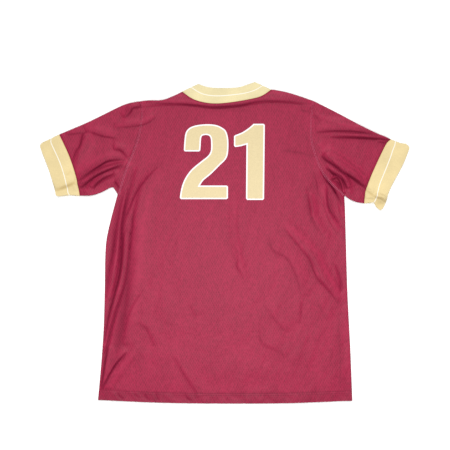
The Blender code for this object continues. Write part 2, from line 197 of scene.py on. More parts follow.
# Creases of the upper layer. The cloth steps up steeply at the path, within the width, to the raised hand's
# side, and sinks away again beyond it.
LEFT, RIGHT = 1, -1
Crease = namedtuple("Crease", "path height raised width", defaults=(6,))
YOKE_CREASES = (
    Crease(((-198, 351), (-144, 347), (-99, 345), (-57, 341), (-29, 338), (1, 339), (43, 343), (72, 350),
            (101, 353), (163, 351), (213, 345)), 3.8, LEFT, 6),
    Crease(((-209, 340), (-229, 335), (-235, 325), (-249, 310)), 4.5, RIGHT),
    Crease(((188, 332), (216, 325)), 2.0, LEFT),
    Crease(((221, 320), (243, 302)), 2.0, LEFT),
)
LEFT_SLEEVE_CREASES = (
    Crease(((-247, 207), (-287, 204), (-312, 191), (-334, 177), (-366, 155)), 6.0, RIGHT),
    Crease(((-252, 196), (-279, 185), (-312, 170), (-335, 155), (-359, 135)), 5.5, RIGHT),
    Crease(((-274, 173), (-299, 162), (-319, 147), (-327, 135)), 4.0, RIGHT),
    Crease(((-334, 280), (-348, 275), (-355, 267), (-361, 242), (-372, 225), (-380, 192)), 3.5, LEFT),
    Crease(((-346, 273), (-334, 275), (-304, 266), (-267, 260)), 2.5, LEFT),
    Crease(((-396, 270), (-374, 272), (-350, 274)), 1.8, LEFT),
    Crease(((-274, 287), (-204, 295), (-172, 315)), 2.0, LEFT),
    Crease(((-278, 232), (-260, 230), (-243, 212)), 3.0, LEFT),
    Crease(((-370, 152), (-392, 142), (-422, 130)), 6.0, RIGHT, 13),
    Crease(((-384, 180), (-393, 167)), 2.0, RIGHT),
)
LEFT_BODY_CREASES = (
    Crease(((-199, -111), (-237, -173), (-254, -256)), 1.8, LEFT, 9),
    Crease(((-162, 192), (-194, 162), (-219, 127), (-237, 87), (-252, 45)), 3.0, LEFT, 7),
    Crease(((-308, -368), (-283, -322), (-267, -297), (-242, -270)), 5.0, LEFT),
    Crease(((-291, -258), (-299, -304), (-308, -362)), 4.5, LEFT),
    Crease(((-217, -198), (-195, -214), (-176, -256)), 1.5, LEFT),
    Crease(((-130, -280), (-103, -325), (-85, -354), (-74, -368), (-69, -386)), 1.6, LEFT),
    Crease(((-92, -151), (-69, -186)), 0.8, LEFT),
    Crease(((20, 80), (28, 0), (34, -43), (31, -62), (55, -93)), 1.2, LEFT),
)
RIGHT_BODY_CREASES = (
    Crease(((146, 40), (188, -14), (211, -42), (229, -86), (260, -119), (290, -160)), 2.6, LEFT),
    Crease(((108, 15), (120, -18), (159, -43), (184, -101), (190, -136)), 1.8, LEFT, 7),
    Crease(((221, 180), (228, 156), (231, 133), (233, 115)), 2.2, LEFT),
    Crease(((205, 123), (213, 97), (218, 70)), 2.0, LEFT),
    Crease(((281, -151), (288, -276), (288, -361)), 1.5, LEFT, 10),
    Crease(((96, -151), (126, -193), (158, -224)), 1.3, LEFT),
    Crease(((192, -143), (188, -201)), 1.0, RIGHT),
    Crease(((226, -135), (251, -193)), 1.0, LEFT),
    Crease(((93, -161), (88, -243), (130, -268), (151, -285)), 1.1, LEFT, 8),
    Crease(((138, 232), (181, 226), (231, 213)), 1.5, LEFT),
)
RIGHT_SLEEVE_CREASES = (
    Crease(((226, 276), (276, 278), (326, 276), (388, 267)), 5.0, LEFT),
    Crease(((261, 263), (318, 262), (356, 260), (413, 257)), 4.5, LEFT),
    Crease(((378, 252), (406, 250)), 2.5, LEFT),
    Crease(((241, 219), (251, 207), (276, 189), (292, 176), (318, 161), (353, 136)), 6.0, LEFT),
    Crease(((251, 187), (262, 179), (270, 172), (282, 166), (291, 158), (298, 148), (304, 134)), 6.0, LEFT),
    Crease(((352, 133), (366, 121), (377, 112)), 3.5, LEFT, 5),
    Crease(((350, 110), (364, 111), (375, 108)), 2.0, LEFT, 4),
    Crease(((372, 116), (380, 113), (390, 110), (402, 101)), 5.0, LEFT, 7),
)
CREASES = (YOKE_CREASES + LEFT_SLEEVE_CREASES + LEFT_BODY_CREASES + RIGHT_BODY_CREASES
           + RIGHT_SLEEVE_CREASES)
CREASE_REACH = 3.5  # how far the raised side takes to sink away, as a multiple of the crease's width

# Grooves and hollows between folds of the upper layer, with a sharp bottom, and the hem's short puckers. The
# rows are a fold's, with a depth for the height.
GROOVES = (
    Fold(((-234, 60), (-239, -50), (-246, -130), (-256, -200), (-270, -270), (-288, -330)), 3.0, 26, 24),
    Fold(((379, 109), (386, 100), (391, 92)), 2.5, 14, 14),
    Fold(((-269, -375), (-263, -384), (-253, -391)), 2.5, 3, 3),
    Fold(((-228, -371), (-222, -382), (-213, -388)), 2.5, 3, 3),
    Fold(((-201, -378), (-195, -388), (-186, -394)), 3.0, 3, 3),
    Fold(((-174, -373), (-170, -386), (-165, -394)), 3.0, 3, 3),
    Fold(((-99, -378), (-94, -389), (-85, -395)), 2.5, 3, 3),
    Fold(((-276, 156), (-270, 146), (-260, 134)), 6.0, 3, 3),
    Fold(((-255, 122), (-264, 75), (-271, 38), (-279, -18), (-288, -68), (-296, -138)), 3.5, 9, 8),
    Fold(((-225, 186), (-238, 132), (-247, 95), (-255, 45), (-257, -11), (-263, -76), (-277, -131),
          (-292, -193), (-301, -250)), 8.0, 5, 5),
    Fold(((-216, 130), (-229, 70), (-235, 20), (-242, -62), (-250, -110), (-276, -190), (-297, -276),
          (-307, -345)), 4.2, 7, 5),
    Fold(((206, 140), (208, 100), (218, 57), (243, 20)), 2.5, 5, 5),
    Fold(((241, 182), (247, 169), (256, 153), (266, 141), (276, 125), (283, 111), (291, 92)), 6.5, 5, 4),
    Fold(((257, 140), (257, 107), (264, 77), (290, 52)), 3.5, 6, 5),
    Fold(((278, -55), (289, -93), (291, -122)), 4.0, 4, 4),
    Fold(((272, 156), (281, 152), (287, 143), (291, 131)), 7.0, 5, 4),
)
# Painted shade: the cloth's colour is darkened in creases and grooves, beside seams and in the hem's groove,
# by the crease attribute
PINCH = 3.4  # a crease looks dark within about this distance, as little light gets into it
GROOVE_PINCH = 0.67  # and a groove within this share of its width
SHADE = 12.0  # it is faintly shaded within about this one
SHADE_SHARE = 0.25
DEEPEST_CREASE = 6.0  # its painted shade is darkest from this height or depth on
SEAM_PINCH = 1.7
HEM_PINCH = 2.5
HEM_GROOVE_SHADE = 0.25


def smooth_curve(points, steps=12):
    """Points along a Catmull-Rom curve through the given ones."""
    return _smooth_curve(tuple(points), steps)


@functools.cache
def _smooth_curve(points, steps):
    p = np.array([points[0], *points, points[-1]], float)
    made = []
    for a, b, c, d in zip(p, p[1:], p[2:], p[3:]):
        for t in np.arange(steps) / steps:
            cubic = (2 * a - 5 * b + 4 * c - d) * t**2 + (3 * b - a - 3 * c + d) * t**3
            made.append((2 * b + (c - a) * t + cubic) / 2)
    return np.array([*made, p[-1]])


def run_of(line):
    """Distance along a line of points at each of them."""
    return np.concatenate([[0], np.cumsum(np.linalg.norm(np.diff(line, axis=0), axis=1))])


def even(cells):
    return np.arange(cells + 1) / cells


def square_ended(shares, outline):
    """The shares, with one more a little before the outline's end, where its roll stops."""
    length = run_of(smooth_curve(outline))[-1]
    return np.concatenate([shares[:-1], [1 - SQUARE_END / length, 1]])


def along(outline, shares):
    """Points at these shares of the length of an outline."""
    line = smooth_curve(outline)
    run = run_of(line)
    return np.stack([np.interp(shares * run[-1], run, line[:, k]) for k in range(2)], axis=1)


def moved_left(line, distance):
    """The line moved to its left hand, as seen from above."""
    way = np.gradient(line, axis=0)
    way /= np.linalg.norm(way, axis=1)[:, None]
    return line + distance * np.stack([-way[:, 1], way[:, 0]], axis=1)


def unit(vectors):
    return vectors / np.linalg.norm(vectors, axis=-1, keepdims=True)


def patch(bottom, top, left, right):
    """Plan points that fill a four-sided outline (a Coons patch). Rows run from the bottom to the top."""
    u_low, u_high, v_left, v_right = (run_of(side) / run_of(side)[-1] for side in (bottom, top, left, right))
    v_mean = (v_left + v_right)[:, None] / 2
    u_mean = (u_low + u_high) / 2
    u = ((1 - v_mean) * u_low + v_mean * u_high)[..., None]
    v = ((1 - u_mean) * v_left[:, None] + u_mean * v_right[:, None])[..., None]
    corners = (1 - v) * ((1 - u) * bottom[0] + u * bottom[-1]) + v * ((1 - u) * top[0] + u * top[-1])
    return (1 - v) * bottom + v * top + (1 - u) * left[:, None] + u * right[:, None] - corners


def seen_from(points, path):
    """How far each point is from a path, whether it is at its left hand, and its share of the way along."""
    line = smooth_curve(path, 5)
    step = np.diff(line, axis=0)
    to = points[:, None] - line[:-1]
    share = np.clip((to * step).sum(2) / (step**2).sum(1), 0, 1)
    away = to - share[..., None] * step
    distance = np.linalg.norm(away, axis=2)
    nearest = distance.argmin(1)
    rows = np.arange(len(points))
    near, share, distance = away[rows, nearest], share[rows, nearest], distance[rows, nearest]
    on_left = step[nearest, 0] * near[:, 1] > step[nearest, 1] * near[:, 0]
    return distance, on_left, (nearest + share) / len(step)


def ridge(points, path, height, left, right, roundness=2):
    """Height of a fold at each point. Its sides end in a soft foot, and it fades out at its ends. Its crest
    is sharp where the roundness is 1."""
    distance, on_left, run = seen_from(points, path)
    run = np.clip(run, END_TAPER, 1 - END_TAPER)
    reach = np.where(on_left, left, right) * FOLD_REACH
    side = np.clip(1 - (distance / reach) ** roundness, 0, 1) ** 2
    return height * np.sqrt(np.sin(math.pi * run)) * side


def painted_crease_shade(plan, sizes):
    """Painted shade at each plan point of the upper layer, from 0 to 1: the colour is darkened in creases and
    grooves, beside seams and in the hem's groove, where shade falls.
    """
    points = plan.reshape(-1, 2)
    depth = np.zeros(len(points))
    pinches = [PINCH] * len(CREASES) + [GROOVE_PINCH * (groove.left + groove.right) / 2 for groove in GROOVES]
    for line, pinch in zip(CREASES + GROOVES, pinches):
        distance, _, run = seen_from(points, line.path)
        deepest = min(1, line.height / DEEPEST_CREASE) * np.sqrt(np.sin(math.pi * run).clip(0))
        pinched, shaded = (np.exp(-((distance / reach) ** 2)) for reach in (pinch, SHADE))
        depth = np.maximum(depth, deepest * ((1 - SHADE_SHARE) * pinched + SHADE_SHARE * shaded))
    for seam, _, seam_shade in SEAMS:
        depth = np.maximum(depth, seam_shade * np.exp(-((seen_from(points, seam)[0] / SEAM_PINCH) ** 2)))
    off_hem = seen_from(points, HEM)[0] - sizes.hem_depth / MM
    depth = np.maximum(depth, HEM_GROOVE_SHADE * np.exp(-((off_hem / HEM_PINCH) ** 2)))
    return depth.reshape(plan.shape[:-1])


def step_up(points, crease):
    """Height that a crease adds at each point."""
    distance, on_left, run = seen_from(points, crease.path)
    aside = distance * np.where(on_left, LEFT, RIGHT) * crease.raised
    rise = np.clip(aside / crease.width + 0.5, 0, 1)
    sink = np.exp(-((aside.clip(0) / (CREASE_REACH * crease.width)) ** 2))
    return crease.height * np.sqrt(np.sin(math.pi * run).clip(0)) * rise**2 * (3 - 2 * rise) * sink


def waves(points):
    """The slow, uneven waves of cloth laid down by hand, and small wrinkles that run mostly up the body."""
    slow = [noise.fractal(Vector((x, y, 0)) / WAVE_LENGTH, *WAVE_OCTAVES) for x, y in points]
    small = []
    for x, y in points:
        place = Vector((x - WRINKLE_SLANT * y, WRINKLE_SQUEEZE * y, WRINKLE_SLICE))
        small.append(noise.fractal(place / WRINKLE_LENGTH, *WRINKLE_OCTAVES))
    return WAVE * np.array(slow) + WRINKLE * np.array(small)


def hem_relief(points, depth):
    """The turned-up hem: a little thicker, with a groove under its stitching and shallow puckers below it."""
    distance = seen_from(points, HEM)[0]
    step = HEM_STEP / (1 + np.exp((distance - depth) * HEM_STEEPNESS))
    groove = HEM_GROOVE * np.exp(-(((distance - depth) / HEM_GROOVE_WIDTH) ** 2))
    pucker = [noise.noise(Vector(((x + PUCKER_SLANT * y) / PUCKER_LENGTH, PUCKER_SLICE, 0)))
              for x, y in points]
    inside = np.sin(math.pi * np.clip(distance / depth, 0, 1))
    return step - groove + PUCKER * np.array(pucker) * inside


def upper_level(plan, sizes):
    """Height of the middle of the upper layer at each plan point."""
    points = plan.reshape(-1, 2)
    swell = np.max([ridge(points, side, SWELL, SWELL_WIDTH, SWELL_WIDTH) for side in TURNED_SIDES], axis=0)
    dip = np.max([depth * np.exp(-((seen_from(points, seam)[0] / SEAM_DIP_WIDTH) ** 2))
                  for seam, depth, _ in SEAMS], axis=0)
    folds = np.sort([ridge(points, *fold) for fold in FOLDS], axis=0)
    creases = np.sort([step_up(points, crease) for crease in CREASES], axis=0)
    grooves = np.max([ridge(points, *groove, roundness=1) for groove in GROOVES], axis=0)
    relief = sum(made[-1] + SECOND_FOLD_SHARE * made[-2] for made in (folds, creases)) - grooves
    level = UPPER_LEVEL + swell - dip + sizes.fold_strength * relief + waves(points)
    level += hem_relief(points, sizes.hem_depth / MM)
    return level.clip(LOWEST_UPPER, HIGHEST_UPPER).reshape(plan.shape[:-1])


def middle_level(plan, is_upper, wall, sizes):
    """Height of the middle of either layer: the lower one rests on the floor."""
    return upper_level(plan, sizes) if is_upper else np.full(plan.shape[:-1], wall / 2)


LEVEL = math.pi / 2  # how far the cloth has turned from upright, where it lies flat
ROLL_TURNS = np.linspace(0, LEVEL, 5)
TURNS = len(ROLL_TURNS)


def split_for_roll(line):
    """The line with its first stretch split where the cloth turns over."""
    way = (line[1] - line[0]) / np.linalg.norm(line[1] - line[0])
    turned = [line[0] + way * ROLL * (1 - math.cos(turn)) for turn in ROLL_TURNS]
    return np.array([*turned, *line[1:]])


def split_both_ends(line):
    return split_for_roll(split_for_roll(line)[::-1])[::-1]


def new_piece(name, mesh):
    made = bpy.data.objects.new(name, mesh)
    bpy.context.scene.collection.objects.link(made)
    return made


def cloth_wall(name, middle, normal, wall, closed, crease, across=None):
    """A sheet of cloth with its thickness, from its sections. A closed one has sections that are rings.

    crease is the painted shade at each point, for lying in a crease or a groove, beside a seam or in the hem's
    groove, and becomes an attribute. across is each point's distance from the band's line; with it the sheet
    gets a UV map in metres, of the distance round the band and the distance from the line."""
    sections, count = middle.shape[:2]
    spans = count if closed else count - 1
    points = np.concatenate([(middle + side * normal * wall / 2).reshape(-1, 3) for side in (1, -1)])
    corner = np.arange(sections * (spans + 1)).reshape(sections, spans + 1)
    vertex = (np.arange(sections)[:, None] * count + np.arange(spans + 1) % count).ravel()
    back = corner.size
    a, b, c, d = (corner[j, i].ravel() for j, i in (
        (slice(None, -1), slice(None, -1)), (slice(None, -1), slice(1, None)),
        (slice(1, None), slice(1, None)), (slice(1, None), slice(None, -1))))
    faces = [np.stack(f, axis=1) for f in ((a, b, c), (a, c, d))]
    faces += [f[:, ::-1] + back for f in faces]
    rims = [(corner[0, 1:], corner[0, :-1]), (corner[-1, :-1], corner[-1, 1:])]
    if not closed:
        rims += [(corner[:-1, 0], corner[1:, 0]), (corner[1:, -1], corner[:-1, -1])]
    for p, q in rims:
        faces += [np.stack((p, q, q + back), axis=1), np.stack((p, q + back, p + back), axis=1)]
    faces = np.concatenate(faces)
    indices = vertex[faces % back] + (faces >= back) * sections * count
    if signed_volume(points[indices]) < 0:
        faces, indices = faces[:, ::-1], indices[:, ::-1]
    mesh = bpy.data.meshes.new(name)
    mesh.from_pydata((points * MM).tolist(), [], indices.tolist())
    # the crease attribute holds the painted shade, by which the materials darken the colour
    mesh.attributes.new("crease", "FLOAT", "POINT").data.foreach_set("value", np.tile(crease.ravel(), 2))
    if across is not None:
        round_it = np.linalg.norm(np.diff(middle, axis=1, append=middle[:, :1]), axis=2).mean(0)
        u = np.broadcast_to(np.concatenate([[0], np.cumsum(round_it)])[:spans + 1], corner.shape)
        v = np.concatenate([across, across[:, :1]], axis=1)[:, :spans + 1]
        band_map = mesh.uv_layers.new(name="band")
        band_map.data.foreach_set("uv", (np.dstack([u, v]).reshape(-1, 2) * MM)[faces.ravel() % back].ravel())
    mesh.shade_smooth()
    mesh.set_sharp_from_angle(angle=SHARP_ANGLE)
    return new_piece(name, mesh)


def signed_volume(corners):
    a, b, c = corners[:, 0], corners[:, 1], corners[:, 2]
    return np.einsum("ij,ij->i", a, np.cross(b, c)).sum()


def grid_area(plan):
    """Area of a grid of plan points, in square millimetres."""
    diagonals = plan[1:, 1:] - plan[:-1, :-1], plan[1:, :-1] - plan[:-1, 1:]
    cross = diagonals[0][..., 0] * diagonals[1][..., 1] - diagonals[0][..., 1] * diagonals[1][..., 0]
    return abs(cross.sum()) / 2


def body_panel(name, neck, is_upper, cells, sizes):
    """The front or the back, turned over along its side seams and shoulders and cut at its other edges."""
    wall = sizes.knit_wall / MM
    shoulder = square_ended(even(cells.shoulder), LEFT_SHOULDER)
    neckline = along(neck, even(cells.neck))
    neckline[1:-1] = moved_left(neckline, -SEAM_GAP / 2)[1:-1]
    left_shoulder = along(LEFT_SHOULDER, shoulder[:-1])
    right_shoulder = along(RIGHT_SHOULDER, shoulder[:-1])
    top = np.concatenate([left_shoulder, neckline, right_shoulder[::-1]])

    hem_share = HEM_REACH * sizes.hem_depth / MM / run_of(smooth_curve(LEFT_SIDE))[-1]
    above = hem_share + (1 - hem_share) * even(cells.side)
    rise = square_ended(np.concatenate([hem_share * even(cells.hem)[:-1], above]), LEFT_SIDE)[:-1]
    left_armhole = moved_left(along(LEFT_ARMHOLE, even(cells.armhole)), -SEAM_GAP / 2)
    right_armhole = moved_left(along(RIGHT_ARMHOLE, even(cells.armhole)), SEAM_GAP / 2)
    left = np.concatenate([along(LEFT_SIDE, rise), left_armhole])
    right = np.concatenate([along(RIGHT_SIDE, rise), right_armhole])

    spacing = np.interp(even(len(top) - 2), (0, CROWDED_ENDS, 1 - CROWDED_ENDS, 1),
                        (HEM_CROWDING, 1, 1, HEM_CROWDING))
    bottom = along(HEM, np.concatenate([[0], np.cumsum(spacing)]) / spacing.sum())
    bottom[0], bottom[-1], top[0], top[-1] = left[0], right[0], left[-1], right[-1]

    flat = patch(bottom, top, left, right)
    plan = np.array([split_both_ends(row) for row in flat])
    columns = [split_for_roll(column[::-1])[::-1] for column in plan.transpose(1, 0, 2)]
    plan = np.array(columns).transpose(1, 0, 2)

    turn = np.full(plan.shape[:2], LEVEL)
    outward = np.zeros_like(plan)
    sides = slice(0, len(rise))
    for k, angle in enumerate(ROLL_TURNS):
        turn[sides, [k, -1 - k]] = angle
        outward[sides, k] = unit(plan[sides, 0] - plan[sides, TURNS - 1])
        outward[sides, -1 - k] = unit(plan[sides, -1] - plan[sides, -TURNS])
    first = TURNS - 1
    last = first + cells.shoulder
    for shoulder_columns in (slice(first, last + 1), slice(-1 - last, -first)):
        for k, angle in enumerate(ROLL_TURNS):
            turn[-1 - k, shoulder_columns] = angle
            outward[-1 - k, shoulder_columns] = unit(plan[-1] - plan[-TURNS])[shoulder_columns]

    facing = 1 if is_upper else -1
    seam = SEAM_LEVEL + facing * SEAM_GAP / 2
    z = seam + (middle_level(plan, is_upper, wall, sizes) - seam) * np.sin(turn)
    normal = np.dstack([outward * np.cos(turn)[..., None], facing * np.sin(turn)])
    # painted shade in creases, only on the upper layer
    crease = painted_crease_shade(plan, sizes) if is_upper else np.zeros(plan.shape[:2])
    panel = cloth_wall(name, np.dstack([plan, z]), normal, wall, False, crease)
    width = max(run_of(row)[-1] for row in flat)
    length = max(run_of(column)[-1] for column in flat.transpose(1, 0, 2))
    return panel, (width * MM, length * MM), grid_area(flat) * MM**2


def half_section(row, is_upper, wall, sizes):
    """The upper or lower half of a section through a flattened tube, as points and normals."""
    plan = split_both_ends(row)
    turn = np.full(len(plan), LEVEL)
    turn[:TURNS], turn[-TURNS:] = ROLL_TURNS, ROLL_TURNS[::-1]
    outward = np.zeros_like(plan)
    outward[:TURNS] = unit(plan[0] - plan[TURNS - 1])
    outward[-TURNS:] = unit(plan[-1] - plan[-TURNS])
    z = SEAM_LEVEL + (middle_level(plan, is_upper, wall, sizes) - SEAM_LEVEL) * np.sin(turn)
    facing = 1 if is_upper else -1
    normal = np.column_stack([outward * np.cos(turn)[:, None], facing * np.sin(turn)])
    return np.column_stack([plan, z]), normal


def ring_of(upper, lower):
    """One ring of values, from the upper half of a section and its lower half, which share their ends."""
    return np.concatenate([upper, lower[-2:0:-1]])


def tube(name, upper_plan, lower_plan, wall, sizes, line=None):
    """A flattened tube of cloth, from the rows of plan points of its two halves. line has the shares of a
    band's width where its white line runs."""
    middle, normal, crease, across = [], [], [], []
    for share, upper_row, lower_row in zip(even(len(upper_plan) - 1), upper_plan, lower_plan):
        upper, upper_normal = half_section(upper_row, True, wall, sizes)
        lower, lower_normal = half_section(lower_row, False, wall, sizes)
        middle.append(ring_of(upper, lower))
        normal.append(ring_of(upper_normal, lower_normal))
        # painted shade on the upper half of each ring only
        crease.append(ring_of(painted_crease_shade(upper[:, :2], sizes), np.zeros(len(lower))))
        if line:
            off_line = []
            for plan in (upper_plan, lower_plan):
                width = np.linalg.norm(plan[-1] - plan[0], axis=1)
                place = np.interp(even(len(width) - 1), even(len(line) - 1), line)
                off_line.append(np.pad((share - place) * width, TURNS - 1, mode="edge"))
            across.append(ring_of(*off_line))
    made = cloth_wall(name, np.array(middle), np.array(normal), wall, True, np.array(crease),
                      np.array(across) if line else None)
    halves = (upper_plan, lower_plan)
    width = sum(max(run_of(row)[-1] for row in half) for half in halves)
    length = max(run_of(column)[-1] for half in halves for column in half.transpose(1, 0, 2))
    return made, (width * MM, length * MM), sum(grid_area(half) for half in halves) * MM**2


def limb_plan(ends, sides, cells, facing):
    """Plan points of one half of a sleeve or a cuff. facing is 1 where the limb points to -X."""
    (inner, inner_gap), (outer, outer_gap) = ends
    inner = moved_left(along(inner, even(FINE.armhole)), facing * inner_gap)
    outer = moved_left(along(outer, even(FINE.armhole)), -facing * outer_gap)
    low, high = (along(side, even(cells)) for side in sides)
    low[0], low[-1], high[0], high[-1] = inner[0], outer[0], inner[-1], outer[-1]
    return patch(inner, outer, low, high)


def collar_halves():
    """Plan points of the collar band: its back half, which lies on top, and its front half."""
    halves = []
    for seam, edge in ((BACK_NECK, BACK_COLLAR_EDGE), (FRONT_NECK, FRONT_COLLAR_EDGE)):
        low = moved_left(along(seam, even(FINE.neck)), SEAM_GAP / 2)
        high = along(edge, even(FINE.neck))
        share = even(BAND_CELLS)[:, None, None]
        halves.append(low * (1 - share) + high * share)
    upper, lower = halves
    ends = (upper[:, [0, -1]] + lower[:, [0, -1]]) / 2
    upper[:, [0, -1]] = lower[:, [0, -1]] = ends
    return upper, lower


# The number: plain condensed figures. Each outline is a list of runs, smooth within a run and cornered
# between two, in millimetres from the figure's lower left corner, which is at its place.
FIGURE_TWO = (
    ((10, 122), (11, 141), (14, 164), (23, 177), (40, 184), (66, 187), (90, 185), (106, 178),
     (116, 168), (121, 146), (120, 115), (114, 99), (99, 84), (78, 63), (59, 47), (50, 34)),
    ((50, 34), (117, 34)),
    ((117, 34), (120, 31)),
    ((120, 31), (120, 3)),
    ((120, 3), (117, 0)),
    ((117, 0), (3, 0)),
    ((3, 0), (0, 3)),
    ((0, 3), (2, 19), (8, 41), (18, 60), (32, 77), (54, 95), (70, 108), (77, 120), (78, 136), (77, 151),
     (73, 158), (65, 160), (56, 158), (53, 151), (52, 135), (51, 122)),
    ((51, 122), (48, 119)),
    ((48, 119), (13, 119)),
    ((13, 119), (10, 122)),
)
FIGURE_ONE = (
    ((49, 190), (74, 190)),
    ((74, 190), (77, 187)),
    ((77, 187), (75, 3)),
    ((75, 3), (72, 0)),
    ((72, 0), (33, 0)),
    ((33, 0), (30, 4)),
    ((30, 4), (31, 138)),
    ((31, 138), (17, 134), (3, 132)),
    ((3, 132), (0, 135)),
    ((0, 135), (0, 159)),
    ((0, 159), (4, 162), (21, 169), (36, 179), (49, 190)),
)
FIGURES = (((-112, 109), FIGURE_TWO), ((23, 107), FIGURE_ONE))
FILM_CELL = 4.0  # the film bends with the cloth at lines this far apart
FILM_THICKNESS = 0.15
FILM_LIFT = 0.25  # between the film and what it lies on, so that the cloth's cells stay under it


def figure_outline(place, runs):
    points = []
    for run in runs:
        line = smooth_curve(run, 4) if len(run) > 2 else np.array(run, float)
        points.extend(line[:-1])
    return np.array(points) + place


def inset(outline, distance):
    """The outline, which runs clockwise, moved in by a distance."""
    before = unit(outline - np.roll(outline, 1, axis=0))
    after = unit(np.roll(outline, -1, axis=0) - outline)
    inward = [np.stack([way[:, 1], -way[:, 0]], axis=1) for way in (before, after)]
    both = inward[0] + inward[1]
    return outline + distance * both / (1 + (inward[0] * inward[1]).sum(1))[:, None].clip(0.5)


def film(name, outlines, lift, sizes):
    """Flat film pressed on to the back: outlines cut into small cells, which follow the cloth under them."""
    shape = bmesh.new()
    for outline in outlines:
        shape.faces.new([shape.verts.new((x, y, 0)) for x, y in outline])
    bmesh.ops.triangulate(shape, faces=shape.faces[:])
    corners = np.concatenate(outlines)
    for axis in (0, 1):
        way = Vector((1 - axis, axis, 0))
        for place in np.arange(corners[:, axis].min() + FILM_CELL, corners[:, axis].max(), FILM_CELL):
            everything = shape.verts[:] + shape.edges[:] + shape.faces[:]
            bmesh.ops.bisect_plane(shape, geom=everything, plane_co=way * place, plane_no=way)
    plan = np.array([vert.co[:2] for vert in shape.verts])
    level = upper_level(plan, sizes) + sizes.knit_wall / MM / 2 + lift
    for vert, height in zip(shape.verts, level):
        vert.co = Vector((vert.co.x, vert.co.y, height)) * MM
    for face in shape.faces:
        if face.normal.z < 0:
            face.normal_flip()
    mesh = bpy.data.meshes.new(name)
    shape.to_mesh(mesh)
    shape.free()
    made = new_piece(name, mesh)
    solid = made.modifiers.new("thickness", "SOLIDIFY")
    solid.thickness = FILM_THICKNESS * MM
    solid.offset = 1
    apply_modifiers(made)
    return made


def apply_modifiers(piece):
    bpy.ops.object.select_all(action="DESELECT")
    bpy.context.view_layer.objects.active = piece
    piece.select_set(True)
    for modifier in list(piece.modifiers):
        bpy.ops.object.modifier_apply(modifier=modifier.name)


# Stitching: rows beside a seam, as (outline, distance to its left hand)
ARMHOLE_ROWS = ((LEFT_ARMHOLE, -1.0), (LEFT_ARMHOLE, -4.0), (RIGHT_ARMHOLE, 1.0), (RIGHT_ARMHOLE, 4.0))
HEM_ROW_GAP = 5.0
STITCH_GAP = 0.2  # share of a stitch's length left open before the next one
THREAD = 0.35  # half the thickness of the thread


def stitching(name, rows, low_end, sizes):
    """Rows of stitches that lie on the back. One stitch is modelled and repeated along them. Stitches at a
    row's first end, which is an armhole's low end, stand out low_end times as much as at its last."""
    bpy.ops.object.select_all(action="DESELECT")
    bpy.ops.mesh.primitive_uv_sphere_add(segments=8, ring_count=5, radius=1)
    stitch = bpy.context.object
    shape = np.array([vert.co[:] for vert in stitch.data.vertices])
    faces = []
    for face in stitch.data.polygons:
        ring = list(face.vertices)
        first = ring.index(min(ring))
        faces.append(ring[first:] + ring[:first])
    faces.sort()  # the sphere's faces come in another order each time
    bpy.data.objects.remove(stitch)
    length = sizes.stitch_length / MM
    points, polygons = [], []
    for outline, aside in rows:
        pitch = length * (1 + STITCH_GAP)
        count = int(run_of(smooth_curve(outline))[-1] / pitch)
        line = moved_left(along(outline, even(count)), aside)
        middle = (line[1:] + line[:-1]) / 2
        ways = unit(np.diff(line, axis=0))
        level = upper_level(middle, sizes) + sizes.knit_wall / MM / 2
        thickness = THREAD * np.linspace(low_end, 1, count)
        for place, way, height, thick in zip(middle, ways, level, thickness):
            long, wide = shape[:, 0] * length / 2, shape[:, 1] * thick
            turned = np.column_stack([long * way[0] - wide * way[1], long * way[1] + wide * way[0],
                                      shape[:, 2] * thick])
            polygons += [[k + len(points) * len(shape) for k in face] for face in faces]
            points.append(turned + (*place, height))
    mesh = bpy.data.meshes.new(name)
    mesh.from_pydata((np.concatenate(points) * MM).tolist(), [], polygons)
    mesh.shade_smooth()
    return new_piece(name, mesh)


def linear(colour):
    """An sRGB hex colour as linear RGB."""
    shares = [int(colour[k:k + 2], 16) / 255 for k in (1, 3, 5)]
    return [s / 12.92 if s <= 0.04045 else ((s + 0.055) / 1.055) ** 2.4 for s in shares]


# Sizes of the patterns in the cloth, in metres, as the materials' coordinates are
GRAIN = 3.2 * MM
DYE_PATCH = 45 * MM
WALE_SQUEEZE = 0.4  # below 1, the grain and the patches are longer up the body than across it
MESH = 6.2 * MM  # between two holes of the mesh, which lie in rows of equilateral triangles
MESH_SHARE = 0.65  # how much the mesh adds to the grain
PATCH_SHARE = 0.25  # how much the patches of dye add
DYE_RANGE = (0.58, 1.14)  # the sum of the three, from the darkest knit to the lightest
HEM_SHADE_EDGE = (-0.379, -0.369)  # painted shade over the turned-up hem starts at its top edge, between these places up the body
HEM_SHADE = 0.88  # the hem keeps this share of the colour, as painted shade
CREPING = 9 * MM
RIB = 2.4 * MM
THREAD_TWIST = 0.7 * MM

# Places of a Mix node's colour sockets, which share their names with its other ones
MIX_FACTOR, MIX_A, MIX_B, MIX_RESULT = 0, 6, 7, 2


def add_node(tree, kind, inputs=None, **settings):
    """Adds a node, with its settings, and gives each named input a value or a link from an output."""
    made = tree.nodes.new("ShaderNode" + kind)
    for name, value in settings.items():
        setattr(made, name, value)
    for name, value in (inputs or {}).items():
        if isinstance(value, bpy.types.NodeSocket):
            tree.links.new(value, made.inputs[name])
        else:
            made.inputs[name].default_value = value
    return made


def calculated(tree, operation, *values, kind="Math"):
    """The result of a Math node, or of a VectorMath one."""
    return add_node(tree, kind, dict(enumerate(values)), operation=operation).outputs[0]


def multiplied(tree, vector, factor):
    return calculated(tree, "MULTIPLY", vector, factor, kind="VectorMath")


def mixed(tree, factor, first, second):
    """A colour between two others."""
    made = add_node(tree, "Mix", {MIX_FACTOR: factor, MIX_A: first, MIX_B: second}, data_type="RGBA")
    return made.outputs[MIX_RESULT]


